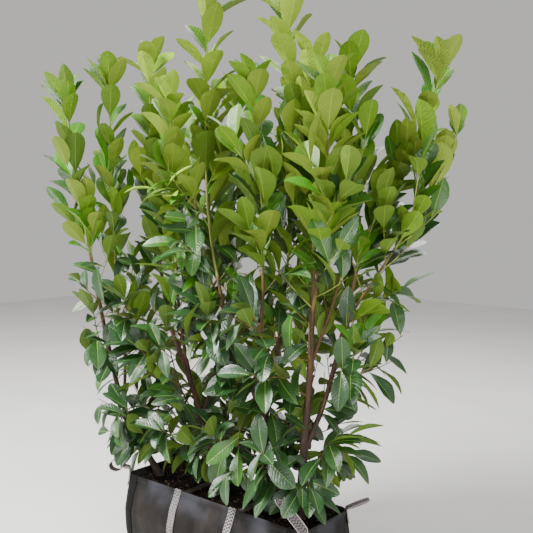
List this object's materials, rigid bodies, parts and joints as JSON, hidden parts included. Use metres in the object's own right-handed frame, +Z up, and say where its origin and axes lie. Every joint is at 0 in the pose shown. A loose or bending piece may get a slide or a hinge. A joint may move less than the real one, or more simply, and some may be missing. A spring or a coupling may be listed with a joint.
{
  "type": "cherry laurel instant hedge",
  "caption": "Evergreen hedge of broad-leaved shrubs grown together in one long soft planting bag with girth straps and corner lifting loops.",
  "frame": {"origin": "middle of the planting bag's flat underside", "axes": "+Z up, +X along the hedge, +Y towards its back"},
  "size_m": [1.7147, 0.817, 2.3883],
  "materials": {
    "bag_cloth": "matte",
    "compost": "matte",
    "girth_webbing": "matte",
    "loop_webbing": "matte",
    "trunk_bark": "matte",
    "bough_bark": "matte",
    "shoot_leaves": "satin",
    "spray_leaves": "satin"
  },
  "bodies": {
    "root": {"bough_left_back": "bough_bark", "bough_left_inner": "bough_bark", "bough_mid_left_back": "bough_bark", "bough_mid_left_front": "bough_bark", "bough_mid_right_back": "bough_bark", "bough_mid_right_front": "bough_bark", "bough_right_back": "bough_bark", "bough_right_end": "bough_bark", "bough_right_front": "bough_bark", "bough_right_side": "bough_bark", "compost": "compost", "loop_back_left": "loop_webbing", "loop_back_right": "loop_webbing", "loop_front_left": "loop_webbing", "loop_front_right": "loop_webbing", "lower_back_left": "spray_leaves", "lower_back_mid_left": "spray_leaves", "lower_back_mid_right": "spray_leaves", "lower_back_right": "spray_leaves", "lower_end_left": "spray_leaves", "lower_end_right": "spray_leaves", "lower_front_left": "spray_leaves", "lower_front_mid_left": "spray_leaves", "lower_front_mid_right": "spray_leaves", "lower_front_right": "spray_leaves", "planting_bag": "bag_cloth", "shoot_left": "shoot_leaves", "shoot_left_back": "shoot_leaves", "shoot_left_inner": "shoot_leaves", "shoot_mid_left": "shoot_leaves", "shoot_mid_left_back": "shoot_leaves", "shoot_mid_left_front": "shoot_leaves", "shoot_mid_right_back": "shoot_leaves", "shoot_mid_right_front": "shoot_leaves", "shoot_right_back": "shoot_leaves", "shoot_right_end": "shoot_leaves", "shoot_right_front": "shoot_leaves", "shoot_right_side": "shoot_leaves", "shoot_tall_left": "shoot_leaves", "shoot_tall_right": "shoot_leaves", "strap_left": "girth_webbing", "strap_right": "girth_webbing", "trunk_left": "trunk_bark", "trunk_mid_left": "trunk_bark", "trunk_mid_right": "trunk_bark", "trunk_right": "trunk_bark", "upper_back_left": "spray_leaves", "upper_back_mid_left": "spray_leaves", "upper_back_mid_right": "spray_leaves", "upper_back_right": "spray_leaves", "upper_corner_right": "spray_leaves", "upper_end_left": "spray_leaves", "upper_end_right": "spray_leaves", "upper_front_high": "spray_leaves", "upper_front_left": "spray_leaves", "upper_front_mid_left": "spray_leaves", "upper_front_mid_right": "spray_leaves", "upper_front_middle": "spray_leaves", "upper_front_right": "spray_leaves"}
  },
  "joints": []
}
